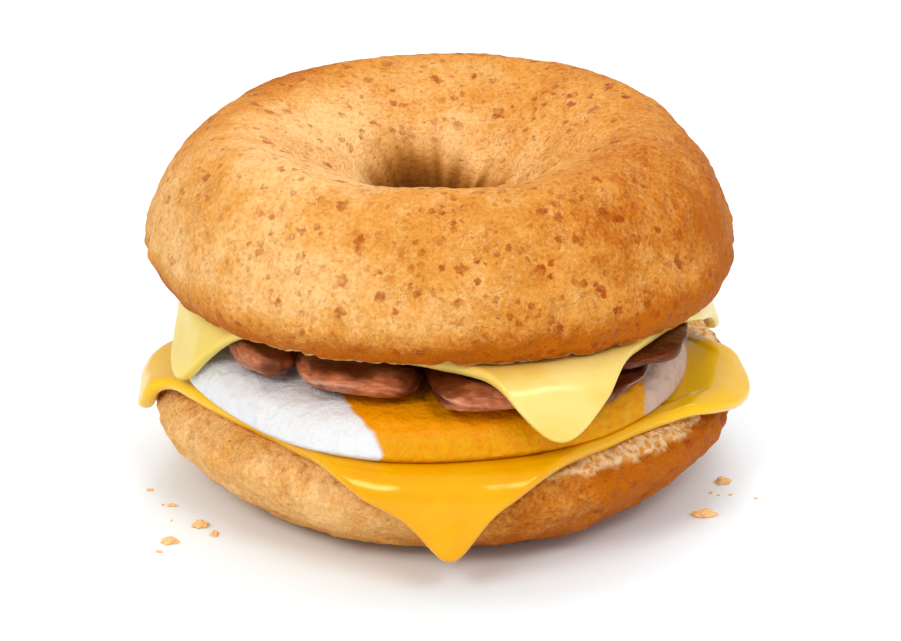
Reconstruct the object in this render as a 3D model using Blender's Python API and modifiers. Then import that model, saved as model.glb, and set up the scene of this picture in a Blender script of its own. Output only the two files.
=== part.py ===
"""A bagel breakfast sandwich: a split bagel round a draped cheddar slice, a round egg, bacon and a
paler cheese slice.

Metres, +Z up. The front faces -Y, and an azimuth is measured from the front towards +X.
The origin is the centre of the footprint, at the level of the flat underside.
"""

import math
from typing import NamedTuple

import bmesh
import bpy
from mathutils import Vector, noise

MM = 0.001

# Bagel
BAGEL_RADIUS = 54.4 * MM
CREST_RADIUS = 37 * MM  # of the circle on which the ring is tallest
HOLE_RADIUS = 7 * MM
BAGEL_STEPS = 64

BOTTOM_HEIGHT = 20.8 * MM
BOTTOM_GIRTH_HEIGHT = 14.5 * MM  # where the lower half is widest
BOTTOM_CUT_RADIUS = 49.8 * MM  # where its cut face ends and the torn edge slopes away
FOOT_RADIUS = 35 * MM  # of the flat underside

TOP_HEIGHT = 28.2 * MM
TOP_GIRTH_HEIGHT = 5.5 * MM
TOP_CUT_RADIUS = 48.6 * MM

# Layers
GAP = 0.3 * MM  # clearance between layers that touch
CHEDDAR_THICKNESS = 2.1 * MM
EGG_RADIUS = 47.3 * MM
EGG_THICKNESS = 7.6 * MM
YOLK_RADIUS = 27.4 * MM
YOLK_REACH = 30 * MM  # from the egg's centre to the yolk's
YOLK_AZIMUTH = 22
BACON_THICKNESS = 6.4 * MM
PALE_THICKNESS = 1.8 * MM

CHEDDAR_Z = BOTTOM_HEIGHT + GAP
EGG_Z = CHEDDAR_Z + CHEDDAR_THICKNESS + GAP
BACON_Z = EGG_Z + EGG_THICKNESS + GAP
PALE_Z = BACON_Z + BACON_THICKNESS + GAP
TOP_Z = PALE_Z + PALE_THICKNESS + GAP

# Where each round layer lies, from the point that the slices are measured from
BOTTOM_CENTRE = (-0.4 * MM, 1.0 * MM)
EGG_CENTRE = (-3.5 * MM, -6.0 * MM)
TOP_CENTRE = (-1.8 * MM, 0.8 * MM)
FOOTPRINT_SHIFT = (0.7 * MM, 1.4 * MM)  # brings the middle of the whole over the origin


class Side(NamedTuple):
    """A straight side of a slice, by the direction that it faces and its distance from the middle."""

    azimuth: float
    distance: float


class Flap(NamedTuple):
    """A corner of a slice that bends down past what is under it, its melted tip drawn out by a drip."""

    azimuth: float
    fold_radius: float
    fold_angle: float
    drip: float
    drip_width: float


class Slice(NamedTuple):
    """A square cheese slice. Its height is that of its underside, and bend is how sharply it folds."""

    name: str
    height: float
    thickness: float
    bend: float
    sides: tuple[Side, ...]
    flaps: tuple[Flap, ...]


class Rasher(NamedTuple):
    """A rasher of bacon that runs from the front to the back. Its base is measured from the egg."""

    x: float
    width: float
    front: float
    slant: float  # how far the front end steps back per unit of width
    back: float
    base: float
    thickness: float
    phase: float  # of its waves


CHEDDAR_SLICE = Slice(
    name="cheddar_slice",
    height=CHEDDAR_Z,
    thickness=CHEDDAR_THICKNESS,
    bend=4 * MM,
    sides=(Side(-50, 49.2 * MM), Side(46, 48.8 * MM), Side(136, 36 * MM), Side(-137, 43 * MM)),
    flaps=(
        Flap(0, 52 * MM, 84, 7.2 * MM, 5.6),
        Flap(-85, 51.5 * MM, 82, 7.5 * MM, 6),
        Flap(85, 49.5 * MM, 39, 5 * MM, 22),
        Flap(180, 50 * MM, 40, 3 * MM, 12),
    ),
)

PALE_SLICE = Slice(
    name="pale_cheese_slice",
    height=PALE_Z,
    thickness=PALE_THICKNESS,
    bend=4.5 * MM,
    sides=(Side(-25, 42.2 * MM), Side(61, 47.5 * MM), Side(151, 43 * MM), Side(-115, 44.8 * MM)),
    flaps=(
        Flap(20, 49.5 * MM, 80, 11.5 * MM, 10.5),
        Flap(-70, 44 * MM, 70, 9 * MM, 10),
        Flap(98, 41.9 * MM, 76, 4 * MM, 9),
        Flap(200, 43 * MM, 60, 4 * MM, 12),
    ),
)

SLICE_STEPS = 72
CORNER_POWER = 4  # how square a slice's corners are

RASHERS = (
    Rasher(-34.1 * MM, 11.8 * MM, -33 * MM, -0.55, 20 * MM, 0, BACON_THICKNESS, 0.6),
    Rasher(-16.4 * MM, 23 * MM, -45 * MM, -0.1, 33 * MM, 0, BACON_THICKNESS, 2.2),
    Rasher(6.0 * MM, 22 * MM, -52.4 * MM, 0.0, 37 * MM, 0, BACON_THICKNESS, 4.0),
    Rasher(26.6 * MM, 19.5 * MM, -45.5 * MM, 0.9, 33 * MM, 0, 3.0 * MM, 5.2),
    Rasher(31.0 * MM, 22.5 * MM, -37.5 * MM, 0.3, 21 * MM, 3.3 * MM, 3.1 * MM, 1.4),
)

# Base colour and roughness
CRUST = ((0.72, 0.38, 0.12, 1), 0.62)
CHEDDAR = ((0.94, 0.52, 0.02, 1), 0.28)
PALE_CHEESE = ((0.93, 0.74, 0.26, 1), 0.32)
EGG_WHITE = ((0.87, 0.86, 0.86, 1), 0.45)
EGG_YOLK = ((0.93, 0.42, 0.01, 1), 0.45)
BACON = ((0.27, 0.085, 0.05, 1), 0.42)


def clear_scene():
    for obj in list(bpy.data.objects):
        bpy.data.objects.remove(obj, do_unlink=True)


def new_collection(name):
    collection = bpy.data.collections.new(name)
    bpy.context.scene.collection.children.link(collection)
    return collection


def new_material(name, look):
    """A Principled material from a base colour and a roughness."""
    colour, roughness = look
    material = bpy.data.materials.new(name)
    material.use_nodes = True
    shader = material.node_tree.nodes["Principled BSDF"]
    shader.inputs["Base Color"].default_value = colour
    shader.inputs["Roughness"].default_value = roughness
    material.diffuse_color = colour
    return material


def add_layer(name, mesh, collection, material, anchor):
    """An object that hangs from the anchor, smooth but for its sharp edges."""
    obj = bpy.data.objects.new(name, mesh)
    collection.objects.link(obj)
    obj.parent = anchor
    mesh.materials.append(material)
    mesh.shade_smooth()
    mesh.set_sharp_from_angle(angle=math.radians(50))
    return obj


def heading(azimuth):
    """The horizontal unit vector at an azimuth in radians."""
    return Vector((math.sin(azimuth), -math.cos(azimuth), 0))


def azimuth_of(point):
    return math.atan2(point.x, -point.y)


def radius_of(point):
    return math.hypot(point.x, point.y)


def smoothstep(low, high, value):
    t = min(1.0, max(0.0, (value - low) / (high - low)))
    return t * t * (3 - 2 * t)


def bump(azimuth, middle, width):
    """A smooth hill of height 1 round one azimuth. The azimuth is in radians, the others in degrees."""
    off = math.remainder(azimuth - math.radians(middle), 2 * math.pi)
    return math.exp(-((off / math.radians(width)) ** 2))


def superellipse(centre, radii, power, start, end, count):
    """Points along a superellipse in the (radius, height) plane, from one angle in degrees to another."""
    points = []
    for i in range(count + 1):
        angle = math.radians(start + (end - start) * i / count)
        c, s = math.cos(angle), math.sin(angle)
        x = math.copysign(abs(c) ** (2 / power), c)
        z = math.copysign(abs(s) ** (2 / power), s)
        points.append((centre[0] + radii[0] * x, centre[1] + radii[1] * z))
    return points


def turned_mesh(name, profile, steps, closed):
    """The mesh that a (radius, height) profile sweeps out round the Z axis."""
    mesh = bpy.data.meshes.new(name)
    count = len(profile)
    edges = [(i, (i + 1) % count) for i in range(count if closed else count - 1)]
    mesh.from_pydata([(r, 0, z) for r, z in profile], edges, [])
    guide = bpy.data.objects.new(name + "_profile", mesh)
    bpy.context.scene.collection.objects.link(guide)
    screw = guide.modifiers.new("Turn", "SCREW")
    screw.steps = screw.render_steps = steps
    screw.use_merge_vertices = True
    screw.merge_threshold = 0.01 * MM
    graph = bpy.context.evaluated_depsgraph_get()
    turned = bpy.data.meshes.new_from_object(guide.evaluated_get(graph))
    bpy.data.objects.remove(guide)
    return turned


def move_vertices(mesh, move):
    """Takes each vertex to move(position, normal)."""
    shaped = bmesh.new()
    shaped.from_mesh(mesh)
    shaped.normal_update()
    places = [move(vertex.co.copy(), vertex.normal.copy()) for vertex in shaped.verts]
    for vertex, place in zip(shaped.verts, places):
        vertex.co = place
    shaped.to_mesh(mesh)
    shaped.free()


def crust_relief(point, seed):
    """How far the crust stands out of the turned form: slow lumps, then smaller crags."""
    lumps = noise.noise(point / (24 * MM) + seed)
    crags = noise.noise(point / (9 * MM) - seed)
    return 0.9 * MM * lumps + 0.45 * MM * crags


def hole_folds(point):
    """Creases that the dough's twist leaves, running out of the hole and fading towards the crest."""
    azimuth = azimuth_of(point)
    depth = 0.0
    for place, width, deep in ((-78, 9, 1.1), (-112, 8, 0.8), (84, 10, 1.2), (150, 9, 0.7), (35, 10, 0.5)):
        depth += deep * MM * bump(azimuth, place, width)
    return depth * (1 - smoothstep(0.55 * CREST_RADIUS, 1.15 * CREST_RADIUS, radius_of(point)))


def bagel_bottom_mesh():
    """The lower half: flat underside, crust curving up to the cut, and the hole right through."""
    waist = BOTTOM_GIRTH_HEIGHT
    profile = [(HOLE_RADIUS, BOTTOM_HEIGHT)]
    profile += [(r * MM, BOTTOM_HEIGHT) for r in (18, 30, 40, 46)]
    profile += [(BOTTOM_CUT_RADIUS, BOTTOM_HEIGHT), (52.2 * MM, 19.0 * MM), (53.6 * MM, 17.2 * MM)]
    profile += superellipse((FOOT_RADIUS, waist), (BAGEL_RADIUS - FOOT_RADIUS, waist), 1.6, 0, -90, 8)
    profile += [(26 * MM, 0), (14 * MM, 0), (9.5 * MM, 2.5 * MM), (HOLE_RADIUS, 9 * MM)]
    mesh = turned_mesh("bagel_bottom", profile, BAGEL_STEPS, closed=True)
    seed = Vector((3.1, 7.7, 1.3))

    def move(point, normal):
        radius = radius_of(point)
        on_crust = smoothstep(0.0, 5 * MM, point.z) * smoothstep(30 * MM, 44 * MM, radius)
        below_cut = 1 - smoothstep(15 * MM, 19 * MM, point.z)
        place = point + normal * crust_relief(point, seed) * on_crust * below_cut
        torn = noise.noise(point / (5 * MM) + seed) * smoothstep(48 * MM, BOTTOM_CUT_RADIUS, radius)
        if point.z > 18 * MM:
            place += heading(azimuth_of(point)) * 0.7 * MM * torn
        if point.z > BOTTOM_HEIGHT - 0.01 * MM:
            place.z -= 0.35 * MM * abs(torn)
        # The right side is drawn in, most of all low down, and the cut edge stands out behind it.
        azimuth = azimuth_of(point)
        low = 1 - smoothstep(5 * MM, BOTTOM_GIRTH_HEIGHT + 3 * MM, point.z)
        out = 2.6 * bump(azimuth, 122, 16) * smoothstep(12 * MM, 18 * MM, point.z)
        out -= 2.4 * bump(azimuth, 60, 30) * low + 1.9 * bump(azimuth, 82, 22)
        return place + heading(azimuth) * out * MM * smoothstep(20 * MM, 40 * MM, radius)

    move_vertices(mesh, move)
    return mesh


def bagel_top_mesh():
    """The upper half, its cut face at height 0: a tall crown that falls into a deep funnel."""
    throat = 4 * MM
    girth = TOP_GIRTH_HEIGHT
    inside = (CREST_RADIUS - HOLE_RADIUS, TOP_HEIGHT - throat)
    outside = (BAGEL_RADIUS - CREST_RADIUS, TOP_HEIGHT - girth)
    profile = [(HOLE_RADIUS + 0.8 * MM, 0)]
    profile += superellipse((CREST_RADIUS, throat), inside, 1.5, 180, 90, 9)
    profile += superellipse((CREST_RADIUS, girth), outside, 1.8, 90, 0, 8)[1:]
    profile += superellipse((42 * MM, girth), (12 * MM, 8 * MM), 2, -16, -42, 2)
    profile += [(TOP_CUT_RADIUS, 0), (38 * MM, 0), (22 * MM, 0)]
    mesh = turned_mesh("bagel_top", profile, BAGEL_STEPS, closed=True)
    seed = Vector((11.4, 2.6, 5.9))

    def move(point, normal):
        azimuth = azimuth_of(point)
        radius = radius_of(point)
        above_cut = smoothstep(0.5 * MM, 6 * MM, point.z)
        place = point + normal * (crust_relief(point, seed) - hole_folds(point)) * above_cut
        torn = noise.noise(point / (5 * MM) + seed) * smoothstep(44 * MM, 49 * MM, radius)
        place += heading(azimuth) * 0.7 * MM * torn * (1 - above_cut)
        # The lower edge is tucked in at the front and swells to the right of it.
        low = (1 - smoothstep(2 * MM, 12 * MM, point.z)) * smoothstep(40 * MM, 48 * MM, radius)
        swell = 1.5 * bump(azimuth, 58, 24) - 1.6 * bump(azimuth, 2, 26)
        place += heading(azimuth) * swell * MM * low
        flat = 0.9 * bump(azimuth, 112, 30) * smoothstep(36 * MM, 48 * MM, radius)
        return place - heading(azimuth) * flat * MM

    move_vertices(mesh, move)
    return mesh


def slice_reach(azimuth, cheese):
    """How far a slice's outline lies from the middle: rounded corners between its sides, and the drips."""
    total = 0.0
    for side in cheese.sides:
        facing = math.cos(azimuth - math.radians(side.azimuth))
        total += (max(0.0, facing) / side.distance) ** CORNER_POWER
    reach = total ** (-1 / CORNER_POWER)
    for flap in cheese.flaps:
        reach += flap.drip * bump(azimuth, flap.azimuth, flap.drip_width)
    return reach


def fold_at(azimuth, cheese):
    """The radius at which a slice starts to bend down, and by what angle, blended between its flaps."""
    total = radius = angle = 0.0
    for flap in cheese.flaps:
        facing = math.cos(azimuth - math.radians(flap.azimuth))
        weight = max(0.0, facing) ** 6 + 1e-6
        total += weight
        radius += weight * flap.fold_radius
        angle += weight * math.radians(flap.fold_angle)
    return radius / total, angle / total


def draped(distance, azimuth, cheese):
    """Where a point of the flat slice comes to lie: level, then round a bend, then straight on down."""
    fold_radius, fold_angle = fold_at(azimuth, cheese)
    past = max(0.0, distance - fold_radius)
    turn = min(past / cheese.bend, fold_angle)
    rest = past - cheese.bend * turn
    radius = distance - past + cheese.bend * math.sin(turn) + rest * math.cos(turn)
    drop = cheese.bend * (1 - math.cos(turn)) + rest * math.sin(turn)
    return heading(azimuth) * radius + Vector((0, 0, cheese.height - drop))


def cheese_slice(cheese, collection, material, anchor):
    """A soft slice: rings out to the fold and on to the outline, draped, and given their thickness."""
    level = (0.0, 0.4, 0.75, 1.0)
    past_fold = (1.22, 1.42, 1.7, 2.0)
    mesh = turned_mesh(cheese.name, [(r, 0) for r in level + past_fold], SLICE_STEPS, closed=False)

    def move(point, _normal):
        share = radius_of(point)
        azimuth = azimuth_of(point)
        reach = slice_reach(azimuth, cheese)
        fold = min(fold_at(azimuth, cheese)[0], 0.9 * reach)
        distance = share * fold if share <= 1 else fold + (share - 1) * (reach - fold)
        return draped(distance, azimuth, cheese)

    move_vertices(mesh, move)
    obj = add_layer(cheese.name, mesh, collection, material, anchor)
    thicken = obj.modifiers.new("Thickness", "SOLIDIFY")
    thicken.thickness = cheese.thickness
    thicken.offset = 1


def egg_disc_mesh(name):
    """The whole egg as its ring shaped it: a low disc with a slanting side and a soft upper edge."""
    top = EGG_THICKNESS
    profile = [(0, top), (18 * MM, top), (34 * MM, top), (40 * MM, top - 0.3 * MM)]
    profile += [(EGG_RADIUS - 4 * MM, top - 0.9 * MM), (EGG_RADIUS - 2 * MM, top - 2.1 * MM)]
    profile += [(EGG_RADIUS - 0.7 * MM, top - 4.0 * MM), (EGG_RADIUS, 1.0 * MM)]
    profile += [(EGG_RADIUS - 0.9 * MM, 0), (24 * MM, 0), (0, 0)]
    mesh = turned_mesh(name, profile, 48, closed=False)

    def move(point, _normal):
        lumps = noise.noise(point / (8 * MM))
        azimuth = azimuth_of(point)
        # The egg is flattened where it lies along the cheddar's front left side.
        edge = 1 + 0.01 * noise.noise(heading(azimuth) * 2.0) - 0.05 * bump(azimuth, -58, 24)
        lift = smoothstep(2 * MM, top, point.z)
        return Vector((point.x * edge, point.y * edge, point.z - 0.3 * MM * abs(lumps) * lift))

    move_vertices(mesh, move)
    return mesh


def yolk_cutter(name, radius, egg, collection):
    """An upright cylinder where the yolk is, as a cutter."""
    shaped = bmesh.new()
    bmesh.ops.create_cone(
        shaped, cap_ends=True, segments=40, radius1=radius, radius2=radius, depth=40 * MM
    )
    mesh = bpy.data.meshes.new(name)
    shaped.to_mesh(mesh)
    shaped.free()
    cutter = bpy.data.objects.new(name, mesh)
    collection.objects.link(cutter)
    cutter.parent = egg
    cutter.location = heading(math.radians(YOLK_AZIMUTH)) * YOLK_REACH
    cutter.hide_render = True
    cutter.display_type = "WIRE"
    return cutter


def egg_piece(name, operation, radius, collection, cutters, material, anchor):
    """The white or the yolk. Both run through the egg's thickness and meet along the yolk's outline."""
    egg = add_layer(name, egg_disc_mesh(name), collection, material, anchor)
    egg.location = (*EGG_CENTRE, EGG_Z)
    cut = egg.modifiers.new("Yolk outline", "BOOLEAN")
    cut.operation = operation
    cut.object = yolk_cutter(name + "_cutter", radius, egg, cutters)


def rasher_mesh(name, rasher):
    """One rasher: a slab with rounded ends and sides, and with waves along its upper face."""
    shaped = bmesh.new()
    bmesh.ops.create_cube(shaped, size=1.0)
    along = [e for e in shaped.edges if abs(e.verts[0].co.y - e.verts[1].co.y) > 0.5]
    bmesh.ops.subdivide_edges(shaped, edges=along, cuts=5, use_grid_fill=True)
    across = [e for e in shaped.edges if abs(e.verts[0].co.x - e.verts[1].co.x) > 0.5]
    bmesh.ops.subdivide_edges(shaped, edges=across, cuts=2, use_grid_fill=True)
    for vertex in shaped.verts:
        x, y, z = vertex.co
        end = abs(2 * y) ** 4
        side = abs(2 * x) ** 4
        wobble = 1 + 0.06 * noise.noise(Vector((6 * y, 3 * x, rasher.phase)))
        offset = x * rasher.width * wobble * (1 - 0.2 * end)
        front = rasher.front + rasher.slant * offset + 2 * MM * side
        level = 0.5 + z * (1 - 0.12 * end - 0.14 * side)
        if z > 0:
            level += 0.13 * math.sin(7 * y + rasher.phase) * math.cos(2.2 * x + rasher.phase) * (1 - end)
        vertex.co = (
            rasher.x + offset,
            rasher.back + (front - rasher.back) * (0.5 - y),
            BACON_Z + rasher.base + min(1.0, level) * rasher.thickness,
        )
    mesh = bpy.data.meshes.new(name)
    shaped.to_mesh(mesh)
    shaped.free()
    return mesh


def bacon(collection, material, anchor):
    """The rashers, side by side across the egg, the last one lying over its neighbour."""
    for number, rasher in enumerate(RASHERS, start=1):
        name = f"bacon_rasher_{number}"
        obj = add_layer(name, rasher_mesh(name, rasher), collection, material, anchor)
        soften = obj.modifiers.new("Soften", "SUBSURF")
        soften.levels = soften.render_levels = 1


def main():
    clear_scene()
    layers = new_collection("Bagel breakfast sandwich")
    cutters = new_collection("Cutters")
    anchor = bpy.data.objects.new("sandwich", None)
    anchor.location = (*FOOTPRINT_SHIFT, 0)
    layers.objects.link(anchor)
    crust = new_material("Toasted bagel", CRUST)

    bottom = add_layer("bagel_bottom", bagel_bottom_mesh(), layers, crust, anchor)
    bottom.location = (*BOTTOM_CENTRE, 0)
    cheese_slice(CHEDDAR_SLICE, layers, new_material("Cheddar", CHEDDAR), anchor)
    white = new_material("Egg white", EGG_WHITE)
    yolk = new_material("Egg yolk", EGG_YOLK)
    egg_piece("egg_white", "DIFFERENCE", YOLK_RADIUS + GAP / 2, layers, cutters, white, anchor)
    egg_piece("egg_yolk", "INTERSECT", YOLK_RADIUS - GAP / 2, layers, cutters, yolk, anchor)
    bacon(layers, new_material("Bacon", BACON), anchor)
    cheese_slice(PALE_SLICE, layers, new_material("Pale cheese", PALE_CHEESE), anchor)
    top = add_layer("bagel_top", bagel_top_mesh(), layers, crust, anchor)
    top.location = (*TOP_CENTRE, TOP_Z)


main()
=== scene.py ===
"""The finish of a bagel breakfast sandwich, made around its packed solids.

Metres, +Z up. The front faces -Y, and an azimuth is measured from the front towards +X. Each layer is
shaped about its own middle and then set down where its solid lies.
"""

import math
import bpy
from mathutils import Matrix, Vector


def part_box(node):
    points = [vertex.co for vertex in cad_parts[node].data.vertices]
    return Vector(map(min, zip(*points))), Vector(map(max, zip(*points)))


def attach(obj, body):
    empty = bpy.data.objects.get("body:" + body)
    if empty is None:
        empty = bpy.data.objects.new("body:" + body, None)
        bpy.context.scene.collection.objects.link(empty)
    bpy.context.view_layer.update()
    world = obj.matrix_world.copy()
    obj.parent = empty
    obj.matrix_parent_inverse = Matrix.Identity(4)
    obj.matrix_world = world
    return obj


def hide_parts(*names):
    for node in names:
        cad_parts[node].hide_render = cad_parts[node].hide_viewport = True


bl_info = {
    "name": "Breakfast Sandwich",
    "version": (1, 0, 0),
    "blender": (4, 5, 0),
    "location": "3D View > Sidebar > Sandwich",
    "description": "Adds the layers of a bagel breakfast sandwich, and a table to show it on",
    "category": "Add Mesh",
}

from typing import NamedTuple

import bmesh
import bpy
from bpy.props import FloatProperty, FloatVectorProperty, IntProperty, PointerProperty
from bpy.types import Operator, Panel, PropertyGroup
from mathutils import Vector, noise

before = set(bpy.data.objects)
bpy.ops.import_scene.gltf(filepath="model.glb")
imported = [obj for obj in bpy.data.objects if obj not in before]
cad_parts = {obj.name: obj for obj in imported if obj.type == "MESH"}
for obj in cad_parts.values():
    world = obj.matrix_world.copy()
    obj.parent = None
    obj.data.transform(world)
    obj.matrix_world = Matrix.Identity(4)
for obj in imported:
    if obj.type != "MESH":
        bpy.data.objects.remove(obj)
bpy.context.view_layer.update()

MM = 0.001

# Where the layers lie, from the solids
HEEL_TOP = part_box("bagel_bottom")[1].z
CHEDDAR_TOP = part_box("cheddar_slice")[1].z
EGG_BASE, EGG_TOP = (corner.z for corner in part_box("egg_white"))
BACON_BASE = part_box("bacon_rasher_3")[0].z
PALE_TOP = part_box("pale_cheese_slice")[1].z
CROWN_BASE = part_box("bagel_top")[0].z

MIDDLE = Vector((0.7 * MM, 1.4 * MM, 0))  # that the slices and the rashers are measured from
HEEL_PLACE = MIDDLE + Vector((-0.4 * MM, 1.0 * MM, 0))
EGG_PLACE = MIDDLE + Vector((-3.5 * MM, -6.0 * MM, EGG_BASE))
CROWN_PLACE = MIDDLE + Vector((-1.8 * MM, 0.8 * MM, CROWN_BASE))

# Bagel, with the points of its profile as (radius, height)
CROWN_HEIGHT = 28.2 * MM
CROWN_GIRTH_HEIGHT = 5.5 * MM
CROWN_CUT_RADIUS = 48.6 * MM
CROWN_ROLL_MIDDLE = (42 * MM, CROWN_GIRTH_HEIGHT)
CROWN_ROLL_RADII = (12 * MM, 8 * MM)  # where the crust turns under to the cut
THROAT = 4 * MM  # how high the hole's walls stand upright
THROAT_FLARE = 0.8 * MM
HEEL_GIRTH_HEIGHT = 14.5 * MM
HEEL_FLAT_RADIUS = 46 * MM  # how far out the heel's cut face is level
HEEL_CUT_RADIUS = 49.8 * MM
HEEL_SHOULDER = [(52.2 * MM, 19.0 * MM), (53.6 * MM, 17.2 * MM)]
HEEL_HOLE_FLARE = [(14 * MM, 0), (9.5 * MM, 2.5 * MM)]
HEEL_THROAT_HEIGHT = 9 * MM
FOOT_RADIUS = 35 * MM
CROWN_SEED = Vector((11.4, 2.6, 5.9))
HEEL_SEED = Vector((3.1, 7.7, 1.3))
CROWN_RIGHT = (-38 * MM, 48 * MM)  # the stretch of X in which the crown turns browner
HEEL_RIGHT = (-25 * MM, 40 * MM)
CRUST_TAGS = ("toast", "crumb", "pulled", "hole_shade", "malted")

# Egg
YOLK_REACH = 30 * MM
YOLK_AZIMUTH = 22
EGG_CREASE = math.radians(50)  # past which an edge of the cut egg stays sharp

FULLNESS = 2.4 * MM  # that a rasher gains before it is rounded off
RASHER_LEVELS = 4
CORNER_POWER = 4  # how square a cheese slice's corners are
RIM = 0.1  # how far a slice's rounded rim stands out in the flat pattern

LIGHT_AIM = Vector((0, 0, 30 * MM))
CAMERA_AIM = Vector((0.6 * MM, 0, 29.73 * MM))

NOISE_LOW, NOISE_HIGH = 0.3, 0.7  # that nearly all of a noise texture's values lie between
LEVEL = (1, 1, 0)  # takes the height out of a vector


class Side(NamedTuple):
    """A straight side of a slice, by the direction that it faces and its distance from the middle."""

    azimuth: float
    distance: float


class Flap(NamedTuple):
    """A corner of a slice that bends down past what is under it, its melted tip drawn out by a drip."""

    azimuth: float
    fold_radius: float
    fold_angle: float
    drip: float
    drip_width: float


class Slice(NamedTuple):
    """A square cheese slice, by its top, and how sharply it folds."""

    top: float
    bend: float
    sides: tuple[Side, ...]
    flaps: tuple[Flap, ...]


class Rasher(NamedTuple):
    """A rasher of bacon that runs from the front to the back. Its base is measured from the egg."""

    x: float
    width: float
    front: float
    slant: float
    back: float
    base: float
    thickness: float
    phase: float


class Fold(NamedTuple):
    """A crease that runs out of the bagel's hole. Its width is in degrees."""

    azimuth: float
    width: float
    depth: float


class Crumb(NamedTuple):
    """A loose crumb on the table."""

    x: float
    y: float
    length: float
    width: float


HOLE_FOLDS = (
    Fold(-78, 9, 1.1 * MM),
    Fold(-112, 8, 0.8 * MM),
    Fold(84, 10, 1.2 * MM),
    Fold(150, 9, 0.7 * MM),
    Fold(35, 10, 0.5 * MM),
)

CHEDDAR_SLICE = Slice(
    top=CHEDDAR_TOP,
    bend=4 * MM,
    sides=(Side(-50, 49.2 * MM), Side(46, 48.8 * MM), Side(136, 36 * MM), Side(-137, 43 * MM)),
    flaps=(
        Flap(0, 52 * MM, 84, 7.2 * MM, 5.6),
        Flap(-85, 51.5 * MM, 82, 7.5 * MM, 6),
        Flap(85, 49.5 * MM, 39, 5 * MM, 22),
        Flap(180, 50 * MM, 40, 3 * MM, 12),
    ),
)

PALE_SLICE = Slice(
    top=PALE_TOP,
    bend=4.5 * MM,
    sides=(Side(-25, 42.2 * MM), Side(61, 47.5 * MM), Side(151, 43 * MM), Side(-115, 44.8 * MM)),
    flaps=(
        Flap(20, 49.5 * MM, 80, 11.5 * MM, 10.5),
        Flap(-70, 44 * MM, 70, 9 * MM, 10),
        Flap(98, 41.9 * MM, 76, 4 * MM, 9),
        Flap(200, 43 * MM, 60, 4 * MM, 12),
    ),
)

RASHERS = (
    Rasher(-34.0 * MM, 13.4 * MM, -33.4 * MM, -0.55, 20 * MM, 0, 6.4 * MM, 0.6),
    Rasher(-16.2 * MM, 23.2 * MM, -45 * MM, -0.22, 33 * MM, 0, 6.4 * MM, 2.2),
    Rasher(6.0 * MM, 22 * MM, -52.4 * MM, 0.0, 37 * MM, 0, 6.4 * MM, 4.0),
    Rasher(26.6 * MM, 19.5 * MM, -45.5 * MM, 0.9, 33 * MM, 0, 3.0 * MM, 5.2),
    Rasher(31.0 * MM, 22.5 * MM, -37.5 * MM, 0.3, 21 * MM, 3.3 * MM, 3.1 * MM, 1.4),
)

CRUMBS = (
    Crumb(-55.2 * MM, -11 * MM, 1.3 * MM, 0.7 * MM),
    Crumb(-52.6 * MM, -17.5 * MM, 0.6 * MM, 0.5 * MM),
    Crumb(-50.8 * MM, -18 * MM, 1.8 * MM, 0.7 * MM),
    Crumb(-50.6 * MM, -24.5 * MM, 0.5 * MM, 0.5 * MM),
    Crumb(-45.2 * MM, -27 * MM, 2.6 * MM, 2.2 * MM),
    Crumb(-42.4 * MM, -30.5 * MM, 1.2 * MM, 2.0 * MM),
    Crumb(-50.4 * MM, -34 * MM, 3.2 * MM, 1.8 * MM),
    Crumb(-52.0 * MM, -38 * MM, 1.1 * MM, 0.7 * MM),
    Crumb(47.2 * MM, -22.4 * MM, 4.0 * MM, 2.0 * MM),
    Crumb(51.6 * MM, -7.4 * MM, 2.9 * MM, 2.0 * MM),
    Crumb(49.0 * MM, -12 * MM, 0.7 * MM, 0.6 * MM),
    Crumb(50.4 * MM, -13.2 * MM, 0.6 * MM, 0.4 * MM),
    Crumb(52.6 * MM, -13 * MM, 0.7 * MM, 0.5 * MM),
    Crumb(57.2 * MM, -14.6 * MM, 0.6 * MM, 0.5 * MM),
)


def length_property(name, description, default):
    return FloatProperty(name=name, description=description, default=default, unit="LENGTH", precision=4)


def colour_property(name, description, default):
    return FloatVectorProperty(
        name=name, description=description, default=(*default, 1), size=4, min=0, max=1, subtype="COLOR"
    )


class BagelSettings(PropertyGroup):
    """The bagel's sizes and the colours of its crust and crumb."""

    radius: length_property("Radius", "Half the bagel's width", 54.4 * MM)
    crest_radius: length_property("Crest radius", "Of the circle on which the ring is tallest", 37 * MM)
    hole_radius: length_property("Hole radius", "Of the hole at its narrowest", 7 * MM)
    tear: length_property("Tear", "How ragged the cut edges are", 0.95 * MM)
    wrinkle: length_property("Wrinkle", "Depth of the crust's fine wrinkles", 0.42 * MM)
    steps: IntProperty(name="Steps", description="Faces round the ring", default=420, min=64)
    pale: colour_property("Pale crust", "Where the dough was stretched", (0.88, 0.52, 0.21))
    golden: colour_property("Golden crust", "Most of the crust", (0.67, 0.28, 0.048))
    browned: colour_property("Browned crust", "Where it is most toasted", (0.45, 0.108, 0.002))
    # These two colours paint shade into the hole, over crust that is browner there: the first going down, the
    # second deepest.
    shaded: colour_property("Shaded crust", "Going down into the hole", (0.44, 0.165, 0.024))
    hole_shade: colour_property("Scorched crust", "Deep in the hole", (0.09, 0.0198, 0.0009))
    fleck: colour_property("Fleck", "Malted flecks in the crust", (0.34, 0.048, 0.001))
    crumb: colour_property("Crumb", "The torn inside", (0.81, 0.54, 0.288))


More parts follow.
